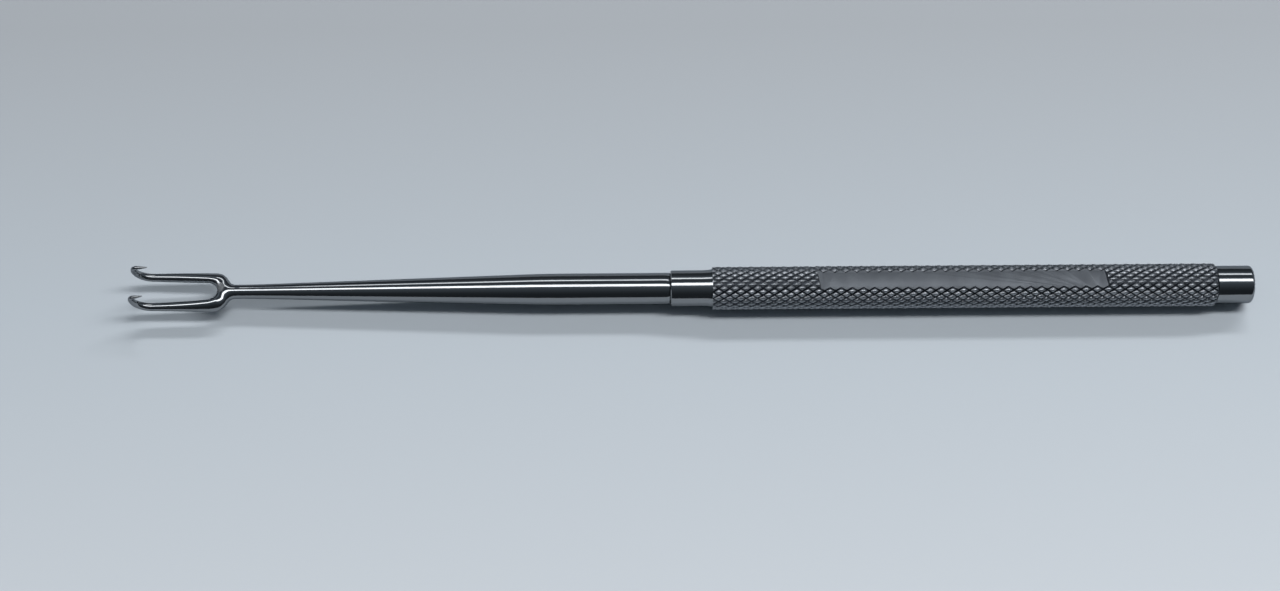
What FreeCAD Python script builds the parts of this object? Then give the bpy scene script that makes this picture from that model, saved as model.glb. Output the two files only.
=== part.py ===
import FreeCAD, Part
import math
import os

from FreeCAD import Vector

# A double skin hook: a small hand-held surgical retractor of stainless steel.
#
# Two pieces make it. The working end is one forging: two sharp hooks, the fork that carries them,
# a thin neck and a shank that widens to a parallel end with a tang. The handle is one turned bar:
# a smooth collar that is bored for the tang, a diamond-knurled grip with a flat milled along its
# top for marking, and a smooth tail.
#
# The instrument lies along X with the hooks at -X, pointing up. It rests on the knurled grip, and
# the origin is the middle of the footprint, on the surface that it lies on. While it is modelled,
# X is counted from the joint of shank and handle, and Z from the instrument's axis.

# Driving dimensions, in millimetres and degrees

# Fork and prongs
PRONG_SPACING = 4.75           # between the centre lines of the two prongs, where the hooks start
PRONG_FOOT_SPACING = 4.5       # the same at the fork's corners
FORK_CORNER_RADIUS = 1.7       # of the centre line, where the fork's foot turns into a prong
FORK_LENGTH = 10.35            # from the centre line of the fork's foot to the start of the hook
PRONG_FOOT_DIAMETER = 1.7      # of the foot, the corners and the prongs next to them
PRONG_END_DIAMETER = 1.2       # where the hook starts

# Hooks
HOOK_LOWER_RADIUS = 2.75       # centre line of the quarter turn that leaves the prong
HOOK_UPPER_RADIUS = 0.85       # centre line of the tighter turn towards the tip
HOOK_TIP_LENGTH = 1.4          # straight point after the turns
HOOK_TIP_DIAMETER = 0.14
HOOK_TAPER_POWER = 2.1         # 1 tapers evenly; more keeps the wire stout until near the tip
HOOK_SECTIONS = 18
LEFT_TIP_RISE = 4.0            # degrees by which the point at +Y still climbs
RIGHT_TIP_RISE = 18.0          # the same for the point at -Y, which was bent a little less

# Neck and shank
NECK_DIAMETER = 2.1
NECK_LENGTH = 4.2              # from the centre line of the fork's foot to the start of the taper
THROAT_RADIUS = 1.0            # hollow corner between neck and fork, seen from above
THROAT_REACH = 0.75            # how far it runs from the foot's bar, as a share of its radius
THROAT_SWEEP = 0.96            # how much of the hollow corner is shaped, as a share of its radius
THROAT_THICKNESS = 0.92        # at the foot's bar, as a share of the bar's
THROAT_SECTIONS = 6
TAPER_LENGTH = 43.2
TAPER_NECK_BLEND = 170.0       # large radius where the taper leaves the neck
TAPER_SHANK_BLEND = 210.0      # large radius where the taper meets the parallel end
SHANK_DIAMETER = 4.7
SHANK_PARALLEL_LENGTH = 18.9

# Tang, brazed into the handle
TANG_DIAMETER = 3.0
TANG_LENGTH = 11.0
TANG_CHAMFER = 0.4
BRAZE_GAP = 0.04               # radial, between tang and bore
BORE_RELIEF = 0.6              # free depth past the tang's end

# Collar
COLLAR_DIAMETER = 5.4
COLLAR_LENGTH = 6.2
COLLAR_CHAMFER = 0.12
COLLAR_FLARE_RADIUS = 9.0      # hollow sweep up to the grip
GRIP_STEP = 0.05               # the flare ends this far under the knurl's grooves

# Knurled grip
KNURL_DIAMETER = 6.4           # over the points of the diamonds
KNURL_LENGTH = 74.6
KNURL_DEPTH = 0.28
KNURL_PITCH = 1.64             # along the axis, from one diamond to the next in its row
KNURL_STARTS = 18              # diamonds round the grip
KNURL_CLEARANCE = 0.2          # by which the tools that trim the knurl stand clear of its points
KNURL_FACET_TOLERANCE = 0.001  # within which the corners of neighbouring facets are one

# Marking flat
FLAT_START = 15.5              # from the grip's front end
FLAT_LENGTH = 42.75
FLAT_DEPTH = 0.52              # under the points of the diamonds

# Tail
TAIL_DIAMETER = 5.6
TAIL_LENGTH = 5.35
TAIL_ROUNDING = 0.5

# Places along X, counted from the joint of shank and handle
taper_end_x = -SHANK_PARALLEL_LENGTH
neck_x = taper_end_x - TAPER_LENGTH
foot_x = neck_x - NECK_LENGTH
hook_start_x = foot_x - FORK_LENGTH
grip_x = COLLAR_LENGTH
grip_end_x = grip_x + KNURL_LENGTH
tail_end_x = grip_end_x + TAIL_LENGTH

neck_radius = NECK_DIAMETER / 2
foot_radius = PRONG_FOOT_DIAMETER / 2
bore_radius = TANG_DIAMETER / 2 + BRAZE_GAP
bore_depth = TANG_LENGTH + BORE_RELIEF
crest_radius = KNURL_DIAMETER / 2
groove_radius = crest_radius - KNURL_DEPTH
flat_height = crest_radius - FLAT_DEPTH

# A row of diamonds is half a diamond's turn from the next. The axis lies midway between two rows
# over the resting surface, so the grip stands on both.
row_turn = math.pi / KNURL_STARTS
axis_height = crest_radius * math.cos(row_turn / 2)

ORIGIN = Vector(0, 0, 0)
ALONG_X = Vector(1, 0, 0)


def polyline_wire(points):
    """A closed wire through the points, in order."""
    return Part.makePolygon(points + points[:1])


def turned(outline):
    """The solid that a closed outline, given as (x, radius) pairs, makes when it turns about X."""
    face = Part.Face(polyline_wire([Vector(x, 0, r) for x, r in outline]))
    return face.revolve(ORIGIN, ALONG_X, 360)


def turned_wire(edges):
    """The solid that a closed chain of edges in the XZ plane makes when it turns about X."""
    face = Part.Face(Part.Wire(edges))
    return face.revolve(ORIGIN, ALONG_X, 360)


def rounded_corner(before, corner, after, radius):
    """The tangent arc that rounds a corner between two straight lines: its start, middle and end."""
    back = (before - corner).normalize()
    ahead = (after - corner).normalize()
    half_angle = back.getAngle(ahead) / 2
    reach = radius / math.tan(half_angle)
    centre = corner + (back + ahead).normalize() * (radius / math.sin(half_angle))
    middle = centre + (corner - centre).normalize() * radius
    return corner + back * reach, middle, corner + ahead * reach


def line(start, end):
    return Part.LineSegment(start, end).toShape()


def arc(start, middle, end):
    return Part.Arc(start, middle, end).toShape()


def shank():
    """Neck, taper, parallel end and tang, turned about X."""
    throat_x = foot_x + throat_run()
    shank_radius = SHANK_DIAMETER / 2
    tang_radius = TANG_DIAMETER / 2
    neck_front = Vector(throat_x, 0, neck_radius)
    neck_corner = Vector(neck_x, 0, neck_radius)
    taper_corner = Vector(taper_end_x, 0, shank_radius)
    shoulder = Vector(0, 0, shank_radius)
    neck_blend = rounded_corner(neck_front, neck_corner, taper_corner, TAPER_NECK_BLEND)
    shank_blend = rounded_corner(neck_corner, taper_corner, shoulder, TAPER_SHANK_BLEND)
    tang_points = [
        shoulder,
        Vector(0, 0, tang_radius),
        Vector(TANG_LENGTH - TANG_CHAMFER, 0, tang_radius),
        Vector(TANG_LENGTH, 0, tang_radius - TANG_CHAMFER),
        Vector(TANG_LENGTH, 0, 0),
        Vector(throat_x, 0, 0),
        neck_front,
    ]
    edges = [
        line(neck_front, neck_blend[0]),
        arc(*neck_blend),
        line(neck_blend[2], shank_blend[0]),
        arc(*shank_blend),
        line(shank_blend[2], shoulder),
    ]
    edges += [line(a, b) for a, b in zip(tang_points, tang_points[1:])]
    return turned_wire(edges)


def throat_run():
    """How far the throat reaches from the centre line of the fork's foot towards the handle."""
    return foot_radius + THROAT_RADIUS * THROAT_REACH


def throat():
    """The web that spreads from the round neck to the width of the fork, lofted through ellipses
    that are wider across than they are high."""
    run = throat_run()
    swept = THROAT_RADIUS * THROAT_SWEEP
    thin = foot_radius * THROAT_THICKNESS
    half_sizes = [(0, neck_radius, neck_radius)]
    for step in range(1, THROAT_SECTIONS + 1):
        back = swept * step / THROAT_SECTIONS
        half_width = neck_radius + THROAT_RADIUS - math.sqrt(THROAT_RADIUS ** 2 - back ** 2)
        half_height = neck_radius + (thin - neck_radius) * back / run
        half_sizes.append((back, half_width, half_height))
    half_sizes.append((run, half_sizes[-1][1], thin))
    start = Vector(foot_x + run, 0, 0)
    wires = [Part.Wire(Part.Circle(start, ALONG_X, neck_radius).toShape())]
    for back, half_width, half_height in half_sizes[1:]:
        centre = start - ALONG_X * back
        widest = centre + Vector(0, half_width, 0)
        highest = centre + Vector(0, 0, half_height)
        wires.append(Part.Wire(Part.Ellipse(widest, highest, centre).toShape()))
    return Part.makeLoft(wires, True)


def hook_turns(rise):
    """Length of the centre line through both turns of a hook whose point climbs by rise degrees."""
    return HOOK_LOWER_RADIUS * math.pi / 2 + HOOK_UPPER_RADIUS * math.radians(90 - rise)


def hook_path(distance, rise):
    """Place and heading on a hook's centre line, in the plane of the hook, at a distance from its
    start. The place is (x, z) from the start, and the heading is (x, z) of unit length."""
    lower_length = HOOK_LOWER_RADIUS * math.pi / 2
    if distance <= lower_length:
        turn = distance / HOOK_LOWER_RADIUS
        place = (-HOOK_LOWER_RADIUS * math.sin(turn), HOOK_LOWER_RADIUS * (1 - math.cos(turn)))
        return place, (-math.cos(turn), math.sin(turn))
    turn = min((distance - lower_length) / HOOK_UPPER_RADIUS, math.radians(90 - rise))
    straight = max(0.0, distance - hook_turns(rise))
    heading = (math.sin(turn), math.cos(turn))
    x = -HOOK_LOWER_RADIUS + HOOK_UPPER_RADIUS * (1 - math.cos(turn))
    z = HOOK_LOWER_RADIUS + HOOK_UPPER_RADIUS * math.sin(turn)
    return (x + straight * heading[0], z + straight * heading[1]), heading


def hook_radius(distance, rise):
    """Half the wire's thickness at a distance along the hook, down to the point."""
    share = 1 - (distance / (hook_turns(rise) + HOOK_TIP_LENGTH)) ** HOOK_TAPER_POWER
    tip = HOOK_TIP_DIAMETER / 2
    return tip + (PRONG_END_DIAMETER / 2 - tip) * share


def hook(y, rise):
    """One hook, lofted through circles that shrink towards the tip."""
    length = hook_turns(rise) + HOOK_TIP_LENGTH
    wires = []
    for section in range(HOOK_SECTIONS + 1):
        distance = length * section / HOOK_SECTIONS
        (x, z), (dx, dz) = hook_path(distance, rise)
        centre = Vector(hook_start_x + x, y, z)
        circle = Part.Circle(centre, Vector(dx, 0, dz), hook_radius(distance, rise))
        wires.append(Part.Wire(circle.toShape()))
    return Part.makeLoft(wires, True)


def prong(side, rise):
    """Half of the fork: half its foot, a rounded corner, a tapering prong and the hook.
    side is 1 for the prong at +Y and -1 for the other. rise is how its point climbs."""
    y = side * PRONG_SPACING / 2
    foot_y = side * PRONG_FOOT_SPACING / 2
    corner_y = foot_y - side * FORK_CORNER_RADIUS
    corner_x = foot_x - FORK_CORNER_RADIUS
    across = Vector(0, side, 0)
    foot = Part.makeCylinder(foot_radius, abs(corner_y), Vector(foot_x, 0, 0), across)
    section = Part.Circle(Vector(foot_x, corner_y, 0), across, foot_radius)
    ring = Part.Face(Part.Wire(section.toShape()))
    corner = ring.revolve(Vector(corner_x, corner_y, 0), Vector(0, 0, side), 90)
    straight_start = Part.Circle(Vector(corner_x, foot_y, 0), -ALONG_X, foot_radius)
    straight_end = Part.Circle(Vector(hook_start_x, y, 0), -ALONG_X, PRONG_END_DIAMETER / 2)
    rims = [Part.Wire(circle.toShape()) for circle in (straight_start, straight_end)]
    straight = Part.makeLoft(rims, True, True)
    return foot.fuse([corner, straight, hook(y, rise)])


def working_end():
    return shank().fuse([throat(), prong(1, LEFT_TIP_RISE), prong(-1, RIGHT_TIP_RISE)])


def knurl_blank():
    """A bar covered all over with pointed diamonds, a little longer than the grip.

    Its points lie on a grid of half pitches along X and half turns round it. Every other point is a
    diamond's tip and the ones between are where grooves cross, so each square of the grid is folded
    along the groove that runs across it."""
    rows = 2 * KNURL_STARTS
    half_pitch = KNURL_PITCH / 2
    columns = math.ceil(KNURL_LENGTH / half_pitch) + 2
    start = grip_x - half_pitch
    points = []
    for column in range(columns + 1):
        for row in range(rows):
            radius = crest_radius if (column + row) % 2 == 0 else groove_radius
            angle = -math.pi / 2 + (row + 0.5) * row_turn
            across, up = radius * math.cos(angle), radius * math.sin(angle)
            points.append(Vector(start + column * half_pitch, across, up))
    front = len(points)
    points.append(Vector(start, 0, 0))
    back = len(points)
    points.append(Vector(start + columns * half_pitch, 0, 0))

    def grid(column, row):
        return column * rows + row % rows

    triangles = []
    for column in range(columns):
        for row in range(rows):
            a = grid(column, row)
            b = grid(column + 1, row)
            c = grid(column + 1, row + 1)
            d = grid(column, row + 1)
            if (column + row) % 2 == 0:
                triangles += [(a, d, b), (c, b, d)]
            else:
                triangles += [(b, a, c), (d, c, a)]
    for row in range(rows):
        triangles.append((front, grid(0, row + 1), grid(0, row)))
        triangles.append((back, grid(columns, row), grid(columns, row + 1)))
    shell = Part.Shape()
    shell.makeShapeFromMesh((points, triangles), KNURL_FACET_TOLERANCE)
    return Part.makeSolid(shell)


def grip():
    """The knurled blank, cut to length, chamfered at the tail, bored and milled with the flat."""
    clear_radius = crest_radius + KNURL_CLEARANCE
    tail_radius = TAIL_DIAMETER / 2
    envelope = turned([
        (grip_x, 0),
        (grip_x, clear_radius),
        (grip_end_x - (clear_radius - tail_radius), clear_radius),
        (grip_end_x, tail_radius),
        (grip_end_x, 0),
    ])
    milled = Part.makeBox(
        FLAT_LENGTH, 2 * clear_radius, clear_radius, Vector(grip_x + FLAT_START, -clear_radius, flat_height)
    )
    return knurl_blank().common(envelope.cut([milled, tang_bore()]))


def tang_bore():
    return Part.makeCylinder(bore_radius, bore_depth, ORIGIN, ALONG_X)


def collar():
    """The smooth front end, with a chamfer at the shank and a hollow flare up to the grip."""
    radius = COLLAR_DIAMETER / 2
    rise = groove_radius - GRIP_STEP - radius
    run = math.sqrt(COLLAR_FLARE_RADIUS ** 2 - (COLLAR_FLARE_RADIUS - rise) ** 2)
    half_turn = math.asin(run / COLLAR_FLARE_RADIUS) / 2
    flare_start = Vector(grip_x - run, 0, radius)
    flare_middle = flare_start + Vector(
        COLLAR_FLARE_RADIUS * math.sin(half_turn), 0, COLLAR_FLARE_RADIUS * (1 - math.cos(half_turn))
    )
    flare_end = Vector(grip_x, 0, radius + rise)
    front = [
        flare_end,
        Vector(grip_x, 0, 0),
        ORIGIN,
        Vector(0, 0, radius - COLLAR_CHAMFER),
        Vector(COLLAR_CHAMFER, 0, radius),
        flare_start,
    ]
    edges = [line(a, b) for a, b in zip(front, front[1:])]
    edges.append(arc(flare_start, flare_middle, flare_end))
    return turned_wire(edges).cut(tang_bore())


def tail():
    """The smooth rear end, with its rim rounded."""
    radius = TAIL_DIAMETER / 2
    rim = rounded_corner(
        Vector(grip_end_x, 0, radius), Vector(tail_end_x, 0, radius), Vector(tail_end_x, 0, 0), TAIL_ROUNDING
    )
    corners = [
        rim[2],
        Vector(tail_end_x, 0, 0),
        Vector(grip_end_x, 0, 0),
        Vector(grip_end_x, 0, radius),
        rim[0],
    ]
    edges = [line(a, b) for a, b in zip(corners, corners[1:])]
    edges.append(arc(*rim))
    return turned_wire(edges)


def handle():
    return grip().fuse([collar(), tail()])


def write(name, shape):
    """Puts a piece in the part's own frame and writes its STEP file."""
    bend_radius = hook_radius(HOOK_LOWER_RADIUS * math.pi / 2, RIGHT_TIP_RISE)
    hook_front_x = hook_start_x - HOOK_LOWER_RADIUS - bend_radius
    middle_x = (hook_front_x + tail_end_x) / 2
    placed = shape.copy()
    placed.translate(Vector(-middle_x, 0, axis_height))
    placed.exportStep(f"parts/{name}.step")
    counts = f"{len(placed.Solids)} solid, {len(placed.Faces)} faces"
    print(f"{name}: {counts}, {placed.Volume:.2f} mm3, valid {placed.isValid()}")


os.makedirs("parts", exist_ok=True)
write("working_end", working_end())
write("handle", handle())
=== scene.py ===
import math

import bmesh
import bpy
import numpy as np
from mathutils import Matrix, Vector


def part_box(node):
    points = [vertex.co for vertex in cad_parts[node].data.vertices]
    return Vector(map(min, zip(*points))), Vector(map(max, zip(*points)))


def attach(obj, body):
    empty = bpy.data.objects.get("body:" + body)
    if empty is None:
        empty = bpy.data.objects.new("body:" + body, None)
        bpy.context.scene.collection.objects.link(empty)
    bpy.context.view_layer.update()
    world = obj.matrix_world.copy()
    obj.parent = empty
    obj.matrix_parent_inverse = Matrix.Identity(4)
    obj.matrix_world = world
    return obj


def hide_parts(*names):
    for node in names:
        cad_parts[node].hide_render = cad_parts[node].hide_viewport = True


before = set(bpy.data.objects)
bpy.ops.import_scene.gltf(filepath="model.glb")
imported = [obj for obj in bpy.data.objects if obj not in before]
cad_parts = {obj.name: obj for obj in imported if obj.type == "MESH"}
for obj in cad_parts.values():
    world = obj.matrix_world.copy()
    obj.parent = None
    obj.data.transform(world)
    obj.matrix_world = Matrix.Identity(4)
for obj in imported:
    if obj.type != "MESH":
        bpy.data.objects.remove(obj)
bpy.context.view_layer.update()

# A fine double skin hook: a forged working end with two sharp hooks, set in a knurled handle.
# Lengths in this script are in metres.

MM = 0.001

# Sizes of the instrument, the same as the solids have
PRONG_SPACING = 4.75 * MM
PRONG_FOOT_SPACING = 4.5 * MM
FORK_CORNER_RADIUS = 1.7 * MM
FORK_LENGTH = 10.35 * MM
PRONG_FOOT_DIAMETER = 1.7 * MM
PRONG_END_DIAMETER = 1.2 * MM
HOOK_LOWER_RADIUS = 2.75 * MM
HOOK_UPPER_RADIUS = 0.85 * MM
HOOK_TIP_LENGTH = 1.4 * MM
HOOK_TIP_DIAMETER = 0.14 * MM
HOOK_TAPER_POWER = 2.1          # how late along the hook its taper comes
LEFT_TIP_RISE = 4.0             # of each hook's tip above the level, in degrees
RIGHT_TIP_RISE = 18.0
NECK_DIAMETER = 2.1 * MM
NECK_LENGTH = 4.2 * MM
TAPER_LENGTH = 43.2 * MM
TAPER_NECK_BLEND = 170.0 * MM
TAPER_SHANK_BLEND = 210.0 * MM
SHANK_DIAMETER = 4.7 * MM
SHANK_PARALLEL_LENGTH = 18.9 * MM
COLLAR_DIAMETER = 5.4 * MM
COLLAR_LENGTH = 6.2 * MM
COLLAR_CHAMFER = 0.12 * MM
COLLAR_FLARE_RADIUS = 9.0 * MM
GRIP_STEP = 0.05 * MM           # by which the collar ends below the knurl's grooves
KNURL_DIAMETER = 6.4 * MM
KNURL_LENGTH = 74.6 * MM
KNURL_DEPTH = 0.28 * MM
KNURL_PITCH = 1.64 * MM
KNURL_STARTS = 18
FLAT_START = 15.5 * MM          # from the grip's front to the marking flat
FLAT_LENGTH = 42.75 * MM
FLAT_DEPTH = 0.52 * MM
TAIL_DIAMETER = 5.6 * MM
TAIL_LENGTH = 5.35 * MM
TAIL_ROUNDING = 0.5 * MM

# Finish of the knurl and its flat
CREST_SHARE = 0.05              # flat worn on each diamond's point, as a share of the diamond
SHOULDER_SHARE = 0.55           # where its slopes turn steeper, as a share of the diamond
SHOULDER_HEIGHT = 0.76          # height of that turn, as a share of the groove's depth
GROOVE_SHARE = 0.12             # floor of the grooves, as a share of the diamond
CROSS_GROOVE_RISE = 0.22        # by which the second cut is shallower, as a share of the depth
KNURL_RIDGE = math.radians(40)  # an edge that turns by more than this stays crisp in the knurl
KNURL_CLEARANCE = 0.2 * MM      # by which the tools that trim the knurl stand clear of its points
FLAT_END_SLOPE = 0.2 * MM       # along the axis, at both ends of the marking flat
FLAT_END_SKEW = 0.17            # by which those ends lean toward the tail at the front

# Finish of the fork and its web, and of the seam
PRONG_SLOPE = 0.4               # of a prong's top at its corner, down and outward
PRONG_SLOPE_START = 1.2 * MM    # from the fork's foot to where that slope is full
ARM_REACH = 0.60 * MM           # from the fork's foot to where its two arms leave the neck
ARM_START = 0.90 * MM           # from the foot back to where the arms meet the corners
ARM_SPREAD = 1.65 * MM          # from the axis to that place
ARM_DIAMETER = 1.5 * MM
NECK_START = 0.5 * MM           # from the foot to the neck's round end
NECK_END_DIAMETER = 1.6 * MM    # of the neck there
NECK_END_TAPER = 1.8 * MM       # from there to where the neck is full
CORNER_BLEND = 0.9 * MM         # how softly the arms run into the fork
NECK_BLEND = 1.0 * MM           # and how softly the neck runs into both
WEB_SATIN_PLACE = 0.55 * MM     # from the foot to the middle of the satin place in the web
WEB_SATIN_SIDE = 0.3 * MM       # and from the axis to the same middle
WEB_SATIN_RADIUS = 0.55 * MM    # where that place is satin all over
WEB_SATIN_FADE = 1.0 * MM       # and where it has become bright steel
WEB_SATIN_ROUGHNESS = 0.6
SEAM_CHAMFER = 0.12 * MM        # on the shank's end, so that the joint shows as a fine groove

# How finely the meshes are made
ROUND_STEPS = 96                # flats round a turned surface
SHARP_EDGE = math.radians(30)   # an edge that turns by more than this stays crisp
TAPER_START_STEPS = 12
TAPER_STEPS = 60
TAPER_END_STEPS = 20
PARALLEL_STEPS = 24
HOOK_STEPS = 80
FLARE_STEPS = 12
TAIL_STEPS = 10
CORNER_STEPS = 8                # stretches of the fork's blank round each corner
BLANK_ROUNDNESS = 6             # of the rods that the blank is made of
BLANK_SPARE = 1.0 * MM          # by which they stand past the cuts
NECK_BLANK_START = 0.3 * MM     # from the fork's foot to the neck's rod
FORK_VOXEL = 0.12 * MM
FORK_REMESHES = 2               # times that the fork gets an even new mesh
SETTLING_ROUNDS = 8             # moves by which its points then reach the melted surface
PROBE_STEP = 0.01 * MM          # to each side of a point, to find how that surface slopes
FORK_PRONG_CUT = 0.2 * MM       # the fork's mesh is carried on by rings from this far off the hooks
FORK_NECK_CUT = 3.4 * MM        # and from this far behind the fork's foot
CUT_REACH = 0.02 * MM           # a point this near to a cut belongs to its open end
SPARE_COLUMNS = 2               # of diamonds past each end of the grip
DIAMOND_WELD = 0.004 * MM       # neighbouring diamonds' points this near become one

# Height of the instrument's axis: the grip lies on the points of two neighbouring rows of diamonds
row_turn = math.pi / KNURL_STARTS
crest_radius = KNURL_DIAMETER / 2
groove_radius = crest_radius - KNURL_DEPTH
axis_height = crest_radius * math.cos(row_turn / 2)

# Places along X
tail_end_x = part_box("handle")[1].x
grip_end_x = tail_end_x - TAIL_LENGTH
grip_x = grip_end_x - KNURL_LENGTH
joint_x = grip_x - COLLAR_LENGTH
taper_end_x = joint_x - SHANK_PARALLEL_LENGTH
neck_x = taper_end_x - TAPER_LENGTH
foot_x = neck_x - NECK_LENGTH
corner_x = foot_x - FORK_CORNER_RADIUS
hook_start_x = foot_x - FORK_LENGTH
prong_cut_x = hook_start_x + FORK_PRONG_CUT
neck_cut_x = foot_x + FORK_NECK_CUT

# From the axis to where the fork's foot turns into its corners
bend_y = PRONG_FOOT_SPACING / 2 - FORK_CORNER_RADIUS


# Materials

STEEL_COLOUR = (0.285, 0.295, 0.305, 1)
STEEL_GRAZING_COLOUR = (0.45, 0.47, 0.50, 1)
# The next colour is painted shade in the knurl's grooves; the two after it lighten up the slopes to the
# points.
GROOVE_PAINTED_SHADE_COLOUR = (0.045, 0.050, 0.060, 1)
SLOPE_COLOUR = (0.29, 0.306, 0.33, 1)
POINT_COLOUR = (0.50, 0.525, 0.56, 1)
FLAT_DARK_COLOUR = (0.12, 0.13, 0.145, 1)
FLAT_LIGHT_COLOUR = (0.18, 0.195, 0.215, 1)
LINES_DEPTH = 0.02 * MM         # of the polishing lines
KNURL_GRAIN_DEPTH = 0.02 * MM
FLAT_GRAIN_DEPTH = 0.01 * MM


def node_adder(nodes):
    """A function that adds a node of a kind with its settings. Where a setting is a socket, its
    name is given with _ for a space."""

    def add(kind, **settings):
        node = nodes.new(kind)
        for key, value in settings.items():
            label = key.replace("_", " ")
            if label in node.inputs:
                node.inputs[label].default_value = value
            else:
                setattr(node, key, value)
        return node

    return add


def new_material(name):
    """An empty node material with its shader, and the functions that add and link its nodes."""
    material = bpy.data.materials.new(name)
    material.use_nodes = True
    nodes = material.node_tree.nodes
    return material, nodes["Principled BSDF"], node_adder(nodes), material.node_tree.links.new


def colour_ramp(add, stops):
    """A ramp node from its stops, each (place, colour), in their order."""
    ramp = add("ShaderNodeValToRGB")
    elements = ramp.color_ramp.elements
    for element, (place, colour) in zip(elements, (stops[0], stops[-1])):
        element.position = place
        element.color = colour
    for place, colour in stops[1:-1]:
        elements.new(place).color = colour
    return ramp


def polished_steel():
    """Mirror-bright stainless steel with fine polishing lines, left satin in the fork's web."""
    material, shader, add, link = new_material("polished_stainless_steel")
    shader.inputs["Metallic"].default_value = 1.0
    shader.inputs["Base Color"].default_value = STEEL_COLOUR
    shader.inputs["Specular Tint"].default_value = STEEL_GRAZING_COLOUR
    place = add("ShaderNodeTexCoord")
    stretch = add("ShaderNodeMapping", Scale=(500, 9000, 9000))
    link(place.outputs["Object"], stretch.inputs["Vector"])
    lines = add("ShaderNodeTexNoise", Scale=1.0, Detail=4.0, Roughness=0.6)
    link(stretch.outputs["Vector"], lines.inputs["Vector"])
    haze = add("ShaderNodeMapRange", To_Min=0.04, To_Max=0.13)
    link(lines.outputs["Fac"], haze.inputs["Value"])
    from_web = add("ShaderNodeVectorMath", operation="DISTANCE")
    from_web.inputs[1].default_value = (
        foot_x - WEB_SATIN_PLACE, WEB_SATIN_SIDE, axis_height + ARM_DIAMETER / 2
    )
    link(place.outputs["Object"], from_web.inputs[0])
    satin = add(
        "ShaderNodeMapRange", From_Min=WEB_SATIN_RADIUS, From_Max=WEB_SATIN_FADE,
        To_Min=WEB_SATIN_ROUGHNESS, To_Max=0.0,
    )
    link(from_web.outputs["Value"], satin.inputs["Value"])
    roughness = add("ShaderNodeMath", operation="MAXIMUM")
    link(haze.outputs["Result"], roughness.inputs[0])
    link(satin.outputs["Result"], roughness.inputs[1])
    link(roughness.outputs["Value"], shader.inputs["Roughness"])
    relief = add("ShaderNodeBump", Strength=0.05, Distance=LINES_DEPTH)
    link(lines.outputs["Fac"], relief.inputs["Height"])
    link(relief.outputs["Normal"], shader.inputs["Normal"])
    return material


def knurled_steel():
    """Dull steel of the diamonds, darker in the grooves by painted shade and lighter up the slopes to the
    points.
    """
    material, shader, add, link = new_material("knurled_stainless_steel")
    shader.inputs["Metallic"].default_value = 1.0
    place = add("ShaderNodeTexCoord")
    centre = add("ShaderNodeMapping", Location=(0, 0, -axis_height), Scale=(0, 1, 1))
    link(place.outputs["Object"], centre.inputs["Vector"])
    radius = add("ShaderNodeVectorMath", operation="LENGTH")
    link(centre.outputs["Vector"], radius.inputs[0])
    height = add("ShaderNodeMapRange", From_Min=groove_radius, From_Max=crest_radius)
    link(radius.outputs["Value"], height.inputs["Value"])
    # The colour by height paints shade into the grooves and lightens up the slopes to the points.
    shade = colour_ramp(add, ((0, GROOVE_PAINTED_SHADE_COLOUR), (0.45, SLOPE_COLOUR), (1, POINT_COLOUR)))
    link(height.outputs["Result"], shade.inputs["Fac"])
    grain = add("ShaderNodeTexNoise", Scale=6000.0, Detail=5.0, Roughness=0.65)
    link(place.outputs["Object"], grain.inputs["Vector"])
    tone = add("ShaderNodeMixRGB", blend_type="MULTIPLY", Fac=0.35)
    link(shade.outputs["Color"], tone.inputs["Color1"])
    link(grain.outputs["Fac"], tone.inputs["Color2"])
    link(tone.outputs["Color"], shader.inputs["Base Color"])
    haze = add("ShaderNodeMapRange", To_Min=0.24, To_Max=0.40)
    link(grain.outputs["Fac"], haze.inputs["Value"])
    link(haze.outputs["Result"], shader.inputs["Roughness"])
    relief = add("ShaderNodeBump", Strength=0.25, Distance=KNURL_GRAIN_DEPTH)
    link(grain.outputs["Fac"], relief.inputs["Height"])
    link(relief.outputs["Normal"], shader.inputs["Normal"])
    return material


def marking_flat_steel():
    """Satin grey of the milled flat, with fine grain and faint broad clouds."""
    material, shader, add, link = new_material("satin_marking_flat")
    shader.inputs["Metallic"].default_value = 0.9
    shader.inputs["Roughness"].default_value = 0.52
    place = add("ShaderNodeTexCoord")
    clouds = add("ShaderNodeTexNoise", Scale=350.0, Detail=3.0)
    grain = add("ShaderNodeTexNoise", Scale=9000.0, Detail=4.0, Roughness=0.7)
    link(place.outputs["Object"], clouds.inputs["Vector"])
    link(place.outputs["Object"], grain.inputs["Vector"])
    mixed = add("ShaderNodeMath", operation="MULTIPLY")
    link(clouds.outputs["Fac"], mixed.inputs[0])
    link(grain.outputs["Fac"], mixed.inputs[1])
    shade = colour_ramp(add, ((0.1, FLAT_DARK_COLOUR), (0.45, FLAT_LIGHT_COLOUR)))
    link(mixed.outputs["Value"], shade.inputs["Fac"])
    link(shade.outputs["Color"], shader.inputs["Base Color"])
    relief = add("ShaderNodeBump", Strength=0.2, Distance=FLAT_GRAIN_DEPTH)
    link(grain.outputs["Fac"], relief.inputs["Height"])
    link(relief.outputs["Normal"], shader.inputs["Normal"])
    return material


steel = polished_steel()
knurl_steel = knurled_steel()
flat_steel = marking_flat_steel()


# Helpers for meshes


def in_scene(name, data):
    """A new object in the scene that holds the data."""
    thing = bpy.data.objects.new(name, data)
    bpy.context.scene.collection.objects.link(thing)
    return thing


def discard(piece):
    bpy.data.objects.remove(piece, do_unlink=True)


def make_smooth(mesh):
    mesh.polygons.foreach_set("use_smooth", [True] * len(mesh.polygons))


def only_material(mesh, material):
    """Gives the whole mesh one material, and leaves no other slot in it."""
    mesh.materials.clear()
    mesh.materials.append(material)
    mesh.polygons.foreach_set("material_index", [0] * len(mesh.polygons))


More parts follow.
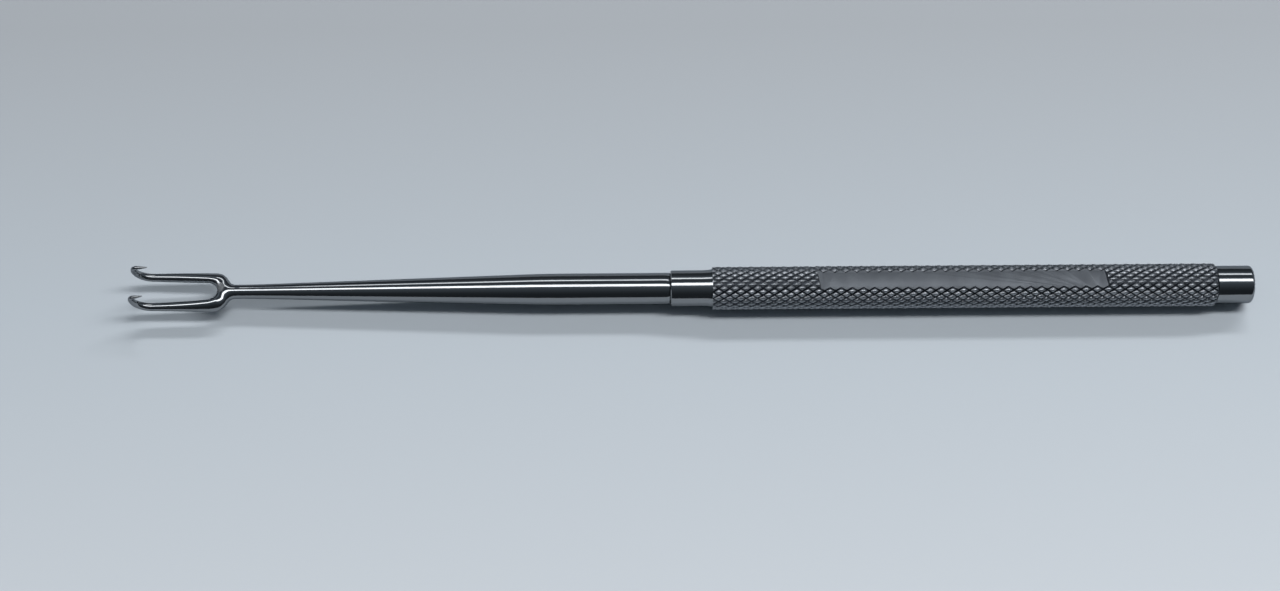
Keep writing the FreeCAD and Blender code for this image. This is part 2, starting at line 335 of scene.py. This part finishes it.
def mesh_object(name, vertices, faces, material):
    mesh = bpy.data.meshes.new(name)
    mesh.from_pydata([tuple(v) for v in vertices], [], faces)
    mesh.materials.append(material)
    make_smooth(mesh)
    mesh.update()
    return in_scene(name, mesh)


def evaluated_mesh(piece):
    """The plain mesh that a piece and its modifiers make now."""
    bpy.context.view_layer.update()
    graph = bpy.context.evaluated_depsgraph_get()
    return bpy.data.meshes.new_from_object(piece.evaluated_get(graph))


def turn_outward(mesh):
    """Turns all faces of a closed mesh so that they point outwards."""
    work = bmesh.new()
    work.from_mesh(mesh)
    bmesh.ops.recalc_face_normals(work, faces=work.faces)
    work.to_mesh(mesh)
    work.free()


def rounded_corner(before, corner, after, radius, steps):
    """Points of the tangent arc that rounds a corner of a profile."""
    before, corner, after = Vector(before), Vector(corner), Vector(after)
    back = (before - corner).normalized()
    ahead = (after - corner).normalized()
    half = back.angle(ahead) / 2
    centre = corner + (back + ahead).normalized() * (radius / math.sin(half))
    start = corner + back * (radius / math.tan(half)) - centre
    end = corner + ahead * (radius / math.tan(half)) - centre
    sweep = start.angle_signed(end)
    return [tuple(centre + Matrix.Rotation(-sweep * i / steps, 2) @ start) for i in range(steps + 1)]


def turned(name, profile, material):
    """A solid turned about the instrument's axis from a profile of (x, radius) points, which starts
    and ends on the axis. It closes there with a pole."""
    vertices, rings = [], []
    for x, radius in profile:
        first = len(vertices)
        count = 1 if radius == 0 else ROUND_STEPS
        for i in range(count):
            angle = 2 * math.pi * i / ROUND_STEPS
            vertices.append((x, radius * math.cos(angle), axis_height + radius * math.sin(angle)))
        rings.append((first, count))
    faces = []
    for (a, a_count), (b, b_count) in zip(rings, rings[1:]):
        for i in range(ROUND_STEPS):
            j = (i + 1) % ROUND_STEPS
            if a_count == 1:
                faces.append((a, b + i, b + j))
            elif b_count == 1:
                faces.append((a + j, a + i, b))
            else:
                faces.append((a + j, a + i, b + i, b + j))
    piece = mesh_object(name, vertices, faces, material)
    turn_outward(piece.data)
    piece.data.set_sharp_from_angle(angle=SHARP_EDGE)
    return piece


# Working end: the fork and its web


def round_distance(x, y, z):
    """How far points lie outside the fork's wire, as numbers per point. The wire is round at the
    hooks, and thicker with a top and a bottom that slope outward at the corners."""
    side = np.abs(y)
    share = np.clip((corner_x - x) / (corner_x - hook_start_x), 0, 1)
    half = (PRONG_FOOT_SPACING + (PRONG_SPACING - PRONG_FOOT_SPACING) * share) / 2
    wire = (PRONG_FOOT_DIAMETER + (PRONG_END_DIAMETER - PRONG_FOOT_DIAMETER) * share) / 2
    corner = np.hypot(x - corner_x, side - bend_y) - FORK_CORNER_RADIUS
    across = np.where(x < corner_x, side - half, np.where(side > bend_y, corner, x - foot_x))
    near_foot = np.clip((foot_x - x) / PRONG_SLOPE_START, 0, 1)
    slope = PRONG_SLOPE * (1 - share) ** 2 * near_foot ** 2 * (3 - 2 * near_foot)
    return np.hypot(across, z + slope * across) - wire


def neck_distance(x, y, z):
    """The same for the neck, which starts inside the fork's foot and is thinner there."""
    along = x - foot_x - NECK_START
    before = np.minimum(along, 0)
    share = np.clip(along / NECK_END_TAPER, 0, 1)
    share = share * share * (3 - 2 * share)
    radius = (NECK_END_DIAMETER + (NECK_DIAMETER - NECK_END_DIAMETER) * share) / 2
    return np.sqrt(before ** 2 + y ** 2 + z ** 2) - radius


def arm_distance(x, y, z):
    """The same for the two arms that run aslant from the neck to the fork's corners."""
    start_x = foot_x + ARM_REACH
    run = np.array([-ARM_REACH - ARM_START, ARM_SPREAD])
    along = ((x - start_x) * run[0] + np.abs(y) * run[1]) / run.dot(run)
    along = np.clip(along, 0, 1)
    aside = np.hypot(x - start_x - along * run[0], np.abs(y) - along * run[1])
    return np.hypot(aside, z) - ARM_DIAMETER / 2


def melted(a, b, blend):
    """The nearer of two surfaces, run together over the length that blend gives."""
    near = np.maximum(blend - np.abs(a - b), 0) / blend
    return np.minimum(a, b) - near ** 2 * blend / 4


def web_distance(points):
    """The same for the fork, its arms and the neck as one melted surface."""
    x, y, z = points[:, 0], points[:, 1], points[:, 2] - axis_height
    fork = melted(round_distance(x, y, z), arm_distance(x, y, z), CORNER_BLEND)
    return melted(fork, neck_distance(x, y, z), NECK_BLEND)


def web_slope(points):
    """How web_distance changes along X, Y and Z at each point."""
    changes = []
    for axis in np.eye(3):
        step = PROBE_STEP * axis
        changes.append(web_distance(points + step) - web_distance(points - step))
    return np.stack(changes, axis=1) / (2 * PROBE_STEP)


def mesh_points(mesh):
    points = np.empty(len(mesh.vertices) * 3)
    mesh.vertices.foreach_get("co", points)
    return points.reshape(-1, 3)


def settle_on_web(mesh):
    """Moves every point of the mesh onto the melted surface."""
    points = mesh_points(mesh)
    for _ in range(SETTLING_ROUNDS):
        slope = web_slope(points)
        steepness = (slope ** 2).sum(axis=1)
        points -= slope * (web_distance(points) / steepness)[:, None]
    mesh.vertices.foreach_set("co", points.ravel())
    mesh.update()


def smooth_fork_shading(mesh):
    """Shades the fork by the melted surface itself, so that the mesh's facets don't show."""
    points = mesh_points(mesh)
    normals = np.empty(len(points) * 3)
    mesh.vertices.foreach_get("normal", normals)
    normals = normals.reshape(-1, 3)
    inside = (points[:, 0] > prong_cut_x) & (points[:, 0] < neck_cut_x)
    slope = web_slope(points[inside])
    normals[inside] = slope / np.linalg.norm(slope, axis=1, keepdims=True)
    mesh.normals_split_custom_set_from_vertices(normals)


def rough_rod(name, route, radius):
    """The mesh of a round rod along a route of points, which the fork's blank is made of."""
    curve = bpy.data.curves.new(name, "CURVE")
    curve.dimensions = "3D"
    curve.bevel_depth = radius
    curve.bevel_resolution = BLANK_ROUNDNESS
    curve.use_fill_caps = True
    line = curve.splines.new("POLY")
    line.points.add(len(route) - 1)
    for point, place in zip(line.points, route):
        point.co = (*place, 1)
    rod = in_scene(name, curve)
    mesh = evaluated_mesh(rod)
    discard(rod)
    return mesh


def fork_route():
    """Points along the middle of the fork's wire, from one prong's cut round to the other's."""
    side = [(prong_cut_x - BLANK_SPARE, PRONG_SPACING / 2)]
    for i in range(CORNER_STEPS + 1):
        turn = math.pi / 2 * i / CORNER_STEPS
        along = corner_x + FORK_CORNER_RADIUS * math.sin(turn)
        side.append((along, bend_y + FORK_CORNER_RADIUS * math.cos(turn)))
    left = [(x, y, axis_height) for x, y in side]
    right = [(x, -y, axis_height) for x, y in reversed(side)]
    return left + right


def fork_blank():
    """Rough rods along the fork and the start of the neck, as one object."""
    neck = [(foot_x + NECK_BLANK_START, 0, axis_height), (neck_cut_x + BLANK_SPARE, 0, axis_height)]
    work = bmesh.new()
    work.from_mesh(rough_rod("fork_blank", fork_route(), PRONG_FOOT_DIAMETER / 2))
    work.from_mesh(rough_rod("neck_blank", neck, NECK_DIAMETER / 2))
    mesh = bpy.data.meshes.new("fork_blank")
    work.to_mesh(mesh)
    work.free()
    return in_scene("fork_blank", mesh)


def fork_core():
    """The U of the fork with the start of the neck, open at three ends: the prongs and the neck."""
    blank = fork_blank()
    for _ in range(FORK_REMESHES):
        remesh = blank.modifiers.new("Remesh", "REMESH")
        remesh.mode = "VOXEL"
        remesh.voxel_size = FORK_VOXEL
        formed = evaluated_mesh(blank)
        blank.modifiers.clear()
        settle_on_web(formed)
        blank.data = formed
    work = bmesh.new()
    work.from_mesh(blank.data)
    for x, heading in ((prong_cut_x, -1), (neck_cut_x, 1)):
        everything = work.verts[:] + work.edges[:] + work.faces[:]
        bmesh.ops.bisect_plane(
            work, geom=everything, plane_co=(x, 0, 0), plane_no=(heading, 0, 0), clear_outer=True
        )
    discard(blank)
    return work


def open_ring(work, x, side):
    """The points of an open end at x, on one side of the fork (1, -1) or in its middle (0)."""
    ring = {v for e in work.edges if e.is_boundary for v in e.verts if abs(v.co.x - x) < CUT_REACH}
    return [v for v in ring if side == 0 or v.co.y * side > 0]


def lengthen(work, ring, y, stations):
    """Carries an open end, whose middle lies at y, on through stations and closes it with a pole.
    A station is (centre, up, radius), and up is the way that a point above the wire's middle goes,
    square to the wire."""
    ring.sort(key=lambda v: math.atan2(v.co.z - axis_height, v.co.y - y))
    angles = [math.atan2(v.co.z - axis_height, v.co.y - y) for v in ring]
    last = ring
    across = Vector((0, 1, 0))
    for centre, up, radius in stations:
        made = [work.verts.new(centre + (across * math.cos(a) + up * math.sin(a)) * radius) for a in angles]
        for i in range(len(ring)):
            j = (i + 1) % len(ring)
            work.faces.new((last[i], last[j], made[j], made[i]))
        last = made
    centre, up, radius = stations[-1]
    pole = work.verts.new(centre + up.cross(across).normalized() * radius * pole_side(stations))
    for i in range(len(ring)):
        work.faces.new((last[i], last[(i + 1) % len(ring)], pole))


def pole_side(stations):
    """1 or -1: which way the last stretch of a run of stations points."""
    ahead = stations[-1][0] - stations[-2][0]
    up = stations[-1][1]
    return 1 if ahead.dot(up.cross(Vector((0, 1, 0)))) > 0 else -1


# Working end: shank and hooks


def shank_profile():
    """Points (x, radius) of the neck, the taper and the parallel end, with their large blends."""
    neck = Vector((neck_x, NECK_DIAMETER / 2))
    wide = Vector((taper_end_x, SHANK_DIAMETER / 2))
    front = (neck_cut_x, NECK_DIAMETER / 2)
    back = (joint_x - SEAM_CHAMFER, SHANK_DIAMETER / 2)
    points = rounded_corner(front, neck, wide, TAPER_NECK_BLEND, TAPER_START_STEPS)
    blend = rounded_corner(neck, wide, back, TAPER_SHANK_BLEND, TAPER_END_STEPS)
    points += between(points[-1], blend[0], TAPER_STEPS)
    points += blend
    points += between(blend[-1], back, PARALLEL_STEPS)
    points += [back, (joint_x, SHANK_DIAMETER / 2 - SEAM_CHAMFER)]
    return points


def between(start, end, steps):
    """Points that divide the way from start to end into equal steps, without its two ends."""
    return [tuple(Vector(start).lerp(Vector(end), i / steps)) for i in range(1, steps)]


def shank_stations():
    up = Vector((0, 0, 1))
    return [(Vector((x, 0, axis_height)), up, radius) for x, radius in shank_profile()]


def hook_stations(y, rise):
    """Stations along the end of a prong and its hook, from the fork's cut to the point: a wide arc
    upwards, a small arc back over the fork and a straight tip."""
    upper_turn = math.radians(90 - rise)
    lower = HOOK_LOWER_RADIUS * math.pi / 2
    upper = HOOK_UPPER_RADIUS * upper_turn
    length = lower + upper + HOOK_TIP_LENGTH
    tip = HOOK_TIP_DIAMETER / 2
    stations = []
    for share in (0.5, 1.0):
        place = Vector((prong_cut_x - FORK_PRONG_CUT * share, y, axis_height))
        stations.append((place, Vector((0, 0, 1)), PRONG_END_DIAMETER / 2))
    for i in range(1, HOOK_STEPS + 1):
        distance = length * i / HOOK_STEPS
        share = 1 - (distance / length) ** HOOK_TAPER_POWER
        radius = tip + (PRONG_END_DIAMETER / 2 - tip) * share
        if distance <= lower:
            turn = distance / HOOK_LOWER_RADIUS
            place = Vector((-math.sin(turn), 0, 1 - math.cos(turn))) * HOOK_LOWER_RADIUS
            up = Vector((math.sin(turn), 0, math.cos(turn)))
        else:
            turn = min((distance - lower) / HOOK_UPPER_RADIUS, upper_turn)
            place = Vector((-HOOK_LOWER_RADIUS, 0, HOOK_LOWER_RADIUS))
            place += Vector((1 - math.cos(turn), 0, math.sin(turn))) * HOOK_UPPER_RADIUS
            place += Vector((math.sin(turn), 0, math.cos(turn))) * max(0, distance - lower - upper)
            up = Vector((math.cos(turn), 0, -math.sin(turn)))
        stations.append((Vector((hook_start_x, y, axis_height)) + place, up, radius))
    return stations


def working_end():
    """The fork, carried on by rings into the shank and the two hooks."""
    work = fork_core()
    half = PRONG_SPACING / 2
    lengthen(work, open_ring(work, neck_cut_x, 0), 0, shank_stations())
    lengthen(work, open_ring(work, prong_cut_x, 1), half, hook_stations(half, LEFT_TIP_RISE))
    lengthen(work, open_ring(work, prong_cut_x, -1), -half, hook_stations(-half, RIGHT_TIP_RISE))
    mesh = bpy.data.meshes.new("forged_working_end")
    bmesh.ops.recalc_face_normals(work, faces=work.faces)
    work.to_mesh(mesh)
    work.free()
    mesh.materials.append(steel)
    make_smooth(mesh)
    mesh.update()
    smooth_fork_shading(mesh)
    return in_scene("forged_working_end", mesh)


# Handle: the knurled grip


class Tree:
    """A geometry node tree that is built by short calls."""

    def __init__(self, name, inputs):
        """The inputs are {label: (kind of socket, value)}."""
        self.tree = bpy.data.node_groups.new(name, "GeometryNodeTree")
        self.values = {}
        for label, (kind, value) in inputs.items():
            socket = self.tree.interface.new_socket(label, in_out="INPUT", socket_type=kind)
            self.values[socket.identifier] = value
        self.tree.interface.new_socket("Geometry", in_out="OUTPUT", socket_type="NodeSocketGeometry")
        self.inputs = self.tree.nodes.new("NodeGroupInput").outputs
        self.output = self.tree.nodes.new("NodeGroupOutput")

    def add(self, kind, settings=None, **links):
        """A node with its settings. Links are socket names, with _ for a space, and what goes in."""
        node = self.tree.nodes.new(kind)
        for key, value in (settings or {}).items():
            setattr(node, key, value)
        for key, value in links.items():
            self.feed(node.inputs[key.replace("_", " ")], value)
        return node

    def feed(self, socket, value):
        """Links another socket to this one, or sets this one's plain value."""
        if isinstance(value, bpy.types.NodeSocket):
            self.tree.links.new(value, socket)
        else:
            socket.default_value = value

    def math(self, operation, *values):
        node = self.add("ShaderNodeMath", {"operation": operation})
        for socket, value in zip(node.inputs, values):
            self.feed(socket, value)
        return node.outputs[0]

    def plus(self, a, b):
        return self.math("ADD", a, b)

    def minus(self, a, b):
        return self.math("SUBTRACT", a, b)

    def times(self, a, b):
        return self.math("MULTIPLY", a, b)

    def over(self, a, b):
        return self.math("DIVIDE", a, b)

    def above(self, a, b):
        """1 where a is more than b, otherwise 0."""
        return self.math("GREATER_THAN", a, b)

    def apply(self, name, result):
        """Runs the tree on a new object and returns its plain mesh."""
        self.tree.links.new(result, self.output.inputs[0])
        holder = in_scene(name, bpy.data.meshes.new(name))
        modifier = holder.modifiers.new(name, "NODES")
        modifier.node_group = self.tree
        for identifier, value in self.values.items():
            modifier[identifier] = value
        mesh = evaluated_mesh(holder)
        discard(holder)
        return mesh


def diamond(tree, turn, half_pitch):
    """One diamond of the knurl, as it stands on a bar whose axis is X: a cone of eight sides in three
    steps, pressed to a diamond. Its rings are the worn point, the turn of its slopes, the edge of
    the groove's floor and the middle of the groove. Turn and half_pitch are half its size round
    the bar and along it."""
    given = tree.inputs
    cone = tree.add(
        "GeometryNodeMeshCone", {"fill_type": "NGON"},
        Vertices=8, Side_Segments=3, Radius_Top=1.0, Radius_Bottom=1.0, Depth=3.0,
    )
    open_cone = tree.add(
        "GeometryNodeDeleteGeometry", {"domain": "FACE", "mode": "ONLY_FACE"},
        Geometry=cone.outputs["Mesh"], Selection=cone.outputs["Bottom"],
    )
    place = tree.add("ShaderNodeSeparateXYZ", Vector=tree.add("GeometryNodeInputPosition").outputs[0])
    x, y, level = place.outputs

    # The rings stand at level 3, 2, 1 and 0, the point first
    is_point = tree.above(level, 2.5)
    above_floor = tree.above(level, 1.5)
    above_cut = tree.above(level, 0.5)
    is_shoulder = tree.minus(above_floor, is_point)
    is_floor = tree.minus(above_cut, above_floor)
    is_low = tree.minus(1.0, above_floor)

    # Each ring is drawn in by its share of the diamond
    drawn_in_above = tree.plus(
        tree.times(is_point, tree.minus(1.0, given["Point Flat"])),
        tree.times(is_shoulder, tree.minus(1.0, given["Shoulder"])),
    )
    drawn_in = tree.plus(drawn_in_above, tree.times(is_floor, given["Groove Flat"]))
    reach = tree.plus(tree.math("ABSOLUTE", x), tree.math("ABSOLUTE", y))
    share = tree.over(tree.minus(1.0, drawn_in), reach)

    # The second of the two spiral cuts passes the sides where X times Y is positive
    in_second_cut = tree.above(tree.times(x, y), 0.1)
    shallower = tree.times(tree.times(in_second_cut, is_low), given["Second Cut Rise"])
    shoulder_rise = tree.times(is_shoulder, given["Shoulder Height"])
    rise = tree.plus(tree.plus(is_point, shoulder_rise), shallower)
    depth = tree.minus(given["Point Radius"], given["Groove Radius"])
    radius = tree.plus(given["Groove Radius"], tree.times(rise, depth))

    angle = tree.times(tree.times(y, share), turn)
    pressed = tree.add(
        "ShaderNodeCombineXYZ", X=tree.times(tree.times(x, share), half_pitch),
        Y=tree.times(radius, tree.math("SINE", angle)),
        Z=tree.times(radius, tree.math("COSINE", angle)),
    )
    return tree.add("GeometryNodeSetPosition", Geometry=open_cone.outputs[0], Position=pressed.outputs[0])


def knurl_blank():
    """Diamonds all over a bar that is a little longer than the grip. The diamond is set on the bar
    once for each place in each row, and rows lie half a diamond apart."""
    real, whole = "NodeSocketFloat", "NodeSocketInt"
    tree = Tree("diamond_knurl", {
        "Point Radius": (real, crest_radius),
        "Groove Radius": (real, groove_radius),
        "Pitch": (real, KNURL_PITCH),
        "Diamonds Round": (whole, KNURL_STARTS),
        "Columns": (whole, 2 * math.ceil(KNURL_LENGTH / KNURL_PITCH) + 2 * SPARE_COLUMNS),
        "First Column": (real, grip_x - SPARE_COLUMNS * KNURL_PITCH / 2),
        "Axis Height": (real, axis_height),
        "Point Flat": (real, CREST_SHARE),
        "Shoulder": (real, SHOULDER_SHARE),
        "Shoulder Height": (real, SHOULDER_HEIGHT),
        "Groove Flat": (real, GROOVE_SHARE),
        "Second Cut Rise": (real, CROSS_GROOVE_RISE),
        "Material": ("NodeSocketMaterial", knurl_steel),
    })
    given = tree.inputs
    turn = tree.over(math.pi, given["Diamonds Round"])
    half_pitch = tree.over(given["Pitch"], 2.0)
    tile = diamond(tree, turn, half_pitch)
    number = tree.add("GeometryNodeInputIndex").outputs[0]
    column = tree.math("FLOOR", tree.over(number, given["Diamonds Round"]))
    in_column = tree.math("MODULO", number, given["Diamonds Round"])
    odd = tree.math("MODULO", column, 2.0)
    row = tree.plus(tree.times(in_column, 2.0), odd)
    start = tree.plus(given["First Column"], tree.times(column, half_pitch))
    spots = tree.add(
        "GeometryNodePoints",
        Count=tree.times(given["Columns"], given["Diamonds Round"]),
        Position=tree.add("ShaderNodeCombineXYZ", X=start, Z=given["Axis Height"]).outputs[0],
    )
    roll = tree.add("ShaderNodeCombineXYZ", X=tree.times(tree.plus(row, 0.5), turn))
    set_out = tree.add(
        "GeometryNodeInstanceOnPoints",
        Points=spots.outputs[0], Instance=tile.outputs[0], Rotation=roll.outputs[0],
    )
    real_tiles = tree.add("GeometryNodeRealizeInstances", Geometry=set_out.outputs[0])
    joined = tree.add("GeometryNodeMergeByDistance", Geometry=real_tiles.outputs[0], Distance=DIAMOND_WELD)
    finish = tree.add("GeometryNodeSetMaterial", Geometry=joined.outputs[0], Material=given["Material"])
    mesh = tree.apply("diamond_knurl", finish.outputs[0])
    only_material(mesh, knurl_steel)
    make_smooth(mesh)
    close_ends(mesh)
    return mesh


def close_ends(mesh):
    """Fills the two open ends of the blank."""
    work = bmesh.new()
    work.from_mesh(mesh)
    middle_x = (grip_x + grip_end_x) / 2
    open_edges = [e for e in work.edges if e.is_boundary]
    for heading in (-1, 1):
        rim = [e for e in open_edges if (e.verts[0].co.x - middle_x) * heading > 0]
        points = {v for e in rim for v in e.verts}
        x = sum(v.co.x for v in points) / len(points)
        pole = work.verts.new((x, 0, axis_height))
        for edge in rim:
            work.faces.new((edge.verts[0], edge.verts[1], pole))
    bmesh.ops.recalc_face_normals(work, faces=work.faces)
    work.to_mesh(mesh)
    work.free()


def cut(piece, tool, operation):
    """Leaves in piece what it and the tool make by a boolean operation, and removes the tool."""
    modifier = piece.modifiers.new(operation, "BOOLEAN")
    modifier.operation = operation
    modifier.solver = "EXACT"
    modifier.material_mode = "TRANSFER"
    modifier.object = tool
    mesh = evaluated_mesh(piece)
    piece.modifiers.clear()
    piece.data = mesh
    discard(tool)


def grip_limits(clear):
    """The turned form that the knurl is cut down to, with its chamfer at the tail."""
    tail_radius = TAIL_DIAMETER / 2
    return turned("grip_limits", [
        (grip_x, 0),
        (grip_x, clear),
        (grip_end_x - (clear - tail_radius), clear),
        (grip_end_x, tail_radius),
        (grip_end_x, 0),
    ], knurl_steel)


def flat_mill(clear):
    """The block that the marking flat is milled with, as wide as clear to each side."""
    low = axis_height + crest_radius - FLAT_DEPTH
    front = grip_x + FLAT_START
    corners = []
    for x, heading in ((front, 1), (front + FLAT_LENGTH, -1)):
        for y in (-clear, clear):
            end_x = x - FLAT_END_SKEW * y
            corners.append((end_x + heading * FLAT_END_SLOPE, y, low))
            corners.append((end_x - heading * FLAT_END_SLOPE, y, low + 2 * FLAT_DEPTH))
    sides = [(0, 1, 3, 2), (4, 6, 7, 5), (0, 4, 5, 1), (2, 3, 7, 6), (0, 2, 6, 4), (1, 5, 7, 3)]
    return mesh_object("flat_mill", corners, sides, flat_steel)


def grip():
    """The knurled grip, cut to length, chamfered at the tail and milled with the marking flat."""
    piece = in_scene("knurled_grip", knurl_blank())
    clear = crest_radius + KNURL_CLEARANCE
    cut(piece, grip_limits(clear), "INTERSECT")
    cut(piece, flat_mill(clear), "DIFFERENCE")
    piece.data.set_sharp_from_angle(angle=KNURL_RIDGE)
    return piece


def collar():
    """The smooth collar in front of the grip, with a hollow flare that rises to the knurl."""
    radius = COLLAR_DIAMETER / 2
    rise = groove_radius - GRIP_STEP - radius
    sweep = math.acos(1 - rise / COLLAR_FLARE_RADIUS)
    flare_x = grip_x - COLLAR_FLARE_RADIUS * math.sin(sweep)
    profile = [(joint_x, 0), (joint_x, radius - COLLAR_CHAMFER), (joint_x + COLLAR_CHAMFER, radius)]
    for i in range(FLARE_STEPS + 1):
        turn = sweep * i / FLARE_STEPS
        lift = COLLAR_FLARE_RADIUS * (1 - math.cos(turn))
        profile.append((flare_x + COLLAR_FLARE_RADIUS * math.sin(turn), radius + lift))
    profile.append((grip_x, 0))
    return turned("collar", profile, steel)


def tail():
    """The smooth tail with its rounded rim."""
    radius = TAIL_DIAMETER / 2
    rim = rounded_corner(
        (grip_end_x, radius), (tail_end_x, radius), (tail_end_x, 0), TAIL_ROUNDING, TAIL_STEPS
    )
    profile = [(grip_end_x, 0), (grip_end_x, radius)] + rim + [(tail_end_x, 0)]
    return turned("tail", profile, steel)


def handle():
    """Grip, collar and tail in one mesh."""
    body = grip()
    body.data.materials.append(steel)
    polished_slot = len(body.data.materials) - 1
    work = bmesh.new()
    work.from_mesh(body.data)
    for end in (collar(), tail()):
        first = len(work.faces)
        work.from_mesh(end.data)
        work.faces.ensure_lookup_table()
        for face in work.faces[first:]:
            face.material_index = polished_slot
        discard(end)
    work.to_mesh(body.data)
    work.free()
    body.name = "knurled_handle"
    return body


hooks = working_end()
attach(hooks, "root")
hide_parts("working_end")

grip_piece = handle()
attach(grip_piece, "root")
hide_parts("handle")


# Table

TABLE_REACH = 3.0
TABLE_SHADE_REACH = 47 * MM     # from the axis to where the table's shade stops changing
# The table's colours paint its shade: lightest at the front, darker through the middle to the back, where
# the light falls away.
TABLE_FRONT_COLOUR = (0.586, 0.624, 0.662, 1)
TABLE_MIDDLE_PAINTED_SHADE_COLOUR = (0.483, 0.531, 0.575, 1)
TABLE_BACK_PAINTED_SHADE_COLOUR = (0.393, 0.417, 0.444, 1)
TABLE_MIDDLE_SHARE = 0.483      # of the way from front to back


def table_top():
    """A plain pale table whose colour carries painted shade: a little darker at the back, where it falls
    away from the light.
    """
    material, shader, add, link = new_material("pale_table")
    shader.inputs["Roughness"].default_value = 0.6
    place = add("ShaderNodeTexCoord")
    parts = add("ShaderNodeSeparateXYZ")
    link(place.outputs["Object"], parts.inputs["Vector"])
    depth = add("ShaderNodeMapRange", From_Min=-TABLE_SHADE_REACH, From_Max=TABLE_SHADE_REACH)
    link(parts.outputs["Y"], depth.inputs["Value"])
    # The ramp paints the table's shade from front to back.
    shade = colour_ramp(add, (
        (0, TABLE_FRONT_COLOUR), (TABLE_MIDDLE_SHARE, TABLE_MIDDLE_PAINTED_SHADE_COLOUR), (1, TABLE_BACK_PAINTED_SHADE_COLOUR),
    ))
    link(depth.outputs["Result"], shade.inputs["Fac"])
    link(shade.outputs["Color"], shader.inputs["Base Color"])
    reach = TABLE_REACH
    corners = [(-reach, -reach, 0), (reach, -reach, 0), (reach, reach, 0), (-reach, reach, 0)]
    return mesh_object("table_top", corners, [(0, 1, 2, 3)], material)


table_top()


# Light: two long lamps show in the bright steel, and two more light only what is dull


def strip_lamp(name, angle, distance, width, span, radiance, in_metal=True, on_table=True):
    """A long soft lamp parallel to the instrument, which spans from one X to another. Angle counts
    from the front horizon upwards and over to the back, in degrees."""
    turn = math.radians(angle)
    length = span[1] - span[0]
    data = bpy.data.lights.new(name, "AREA")
    data.shape = "RECTANGLE"
    data.size = length
    data.size_y = width
    data.energy = radiance * math.pi * width * length
    lamp = in_scene(name, data)
    toward = Vector((0, -math.cos(turn), math.sin(turn)))
    lamp.location = toward * distance + Vector((sum(span) / 2, 0, 0))
    lamp.rotation_euler = toward.to_track_quat("Z", "Y").to_euler()
    lamp.visible_glossy = in_metal
    lamp.visible_diffuse = on_table


strip_lamp(
    "overhead_lamp", angle=93.5, distance=1.0, width=0.26, span=(-1.1, 1.1), radiance=4.0, on_table=False
)
strip_lamp(
    "overhead_fill", angle=96.0, distance=2.0, width=0.32, span=(0.0, 1.9), radiance=17.0, in_metal=False
)
strip_lamp(
    "back_lamp", angle=133, distance=1.0, width=0.13, span=(-0.27, 0.5), radiance=2.5, on_table=False
)
strip_lamp(
    "back_fill", angle=131.8, distance=2.0, width=0.18, span=(0.0, 1.9), radiance=23.0, in_metal=False
)


# Room: its glow at angles in degrees, from the front horizon upwards and over to the back

ROOM_GLOW = (
    (0, 0.038), (25, 0.038), (39, 0.052), (47, 0.068), (54, 0.088), (68, 0.118), (76, 0.16),
    (86, 0.27), (103, 0.27), (109, 0.095), (122, 0.09), (127, 0.27), (140, 0.27), (147, 0.12),
    (154, 0.080), (166, 0.068), (180, 0.070),
)
GLOW_TINT = (0.84, 1.0, 1.16)


def glow_colour(level):
    return (*(level * tint for tint in GLOW_TINT), 1)


def dim_room():
    """The room round the table: dark low in front, with a glow near the lamps."""
    world = bpy.data.worlds.new("dim_room")
    bpy.context.scene.world = world
    world.use_nodes = True
    add, link = node_adder(world.node_tree.nodes), world.node_tree.links.new
    place = add("ShaderNodeTexCoord")
    parts = add("ShaderNodeSeparateXYZ")
    link(place.outputs["Generated"], parts.inputs["Vector"])
    front = add("ShaderNodeMath", operation="MULTIPLY")
    front.inputs[1].default_value = -1
    link(parts.outputs["Y"], front.inputs[0])
    angle = add("ShaderNodeMath", operation="ARCTAN2")
    link(parts.outputs["Z"], angle.inputs[0])
    link(front.outputs["Value"], angle.inputs[1])
    share = add("ShaderNodeMath", operation="DIVIDE")
    share.inputs[1].default_value = math.pi
    link(angle.outputs["Value"], share.inputs[0])
    glow = colour_ramp(add, [(degrees / 180, glow_colour(level)) for degrees, level in ROOM_GLOW])
    link(share.outputs["Value"], glow.inputs["Fac"])
    link(glow.outputs["Color"], world.node_tree.nodes["Background"].inputs["Color"])


dim_room()


# Camera: above the front, at the photograph's angle, with the photograph's slight roll

IMAGE_WIDTH = 1280
SENSOR_WIDTH = 36               # in millimetres, as the camera takes it
CAMERA_ELEVATION = math.radians(66)
CAMERA_DISTANCE = 0.322
METRES_PER_PIXEL = 0.1485 * MM  # at the instrument's axis
AXIS_ABOVE_CENTRE_PX = 6.65     # in the middle of the picture
AXIS_SLOPE = 0.0073             # of the axis across the picture, in radians
CENTRE_TO_SEAM = 4.55 * MM      # along X, from the picture's middle to the shank's end

sight = Vector((0, -math.cos(CAMERA_ELEVATION), math.sin(CAMERA_ELEVATION)))
image_right = Vector((1, 0, 0))
image_up = Vector((0, math.sin(CAMERA_ELEVATION), math.cos(CAMERA_ELEVATION)))
axis_middle = Vector((joint_x - CENTRE_TO_SEAM, 0, axis_height))
aim = axis_middle - image_up * AXIS_ABOVE_CENTRE_PX * METRES_PER_PIXEL
camera_data = bpy.data.cameras.new("camera")
camera_data.sensor_width = SENSOR_WIDTH
camera_data.lens = SENSOR_WIDTH * CAMERA_DISTANCE / METRES_PER_PIXEL / IMAGE_WIDTH
camera_data.clip_start = 10 * MM
camera = in_scene("camera", camera_data)
level_view = Matrix((image_right, image_up, sight)).transposed()
rolled_view = level_view @ Matrix.Rotation(-AXIS_SLOPE, 3, "Z")
camera.matrix_world = Matrix.Translation(aim + sight * CAMERA_DISTANCE) @ rolled_view.to_4x4()
bpy.context.scene.camera = camera

bpy.context.scene.view_settings.view_transform = "Standard"
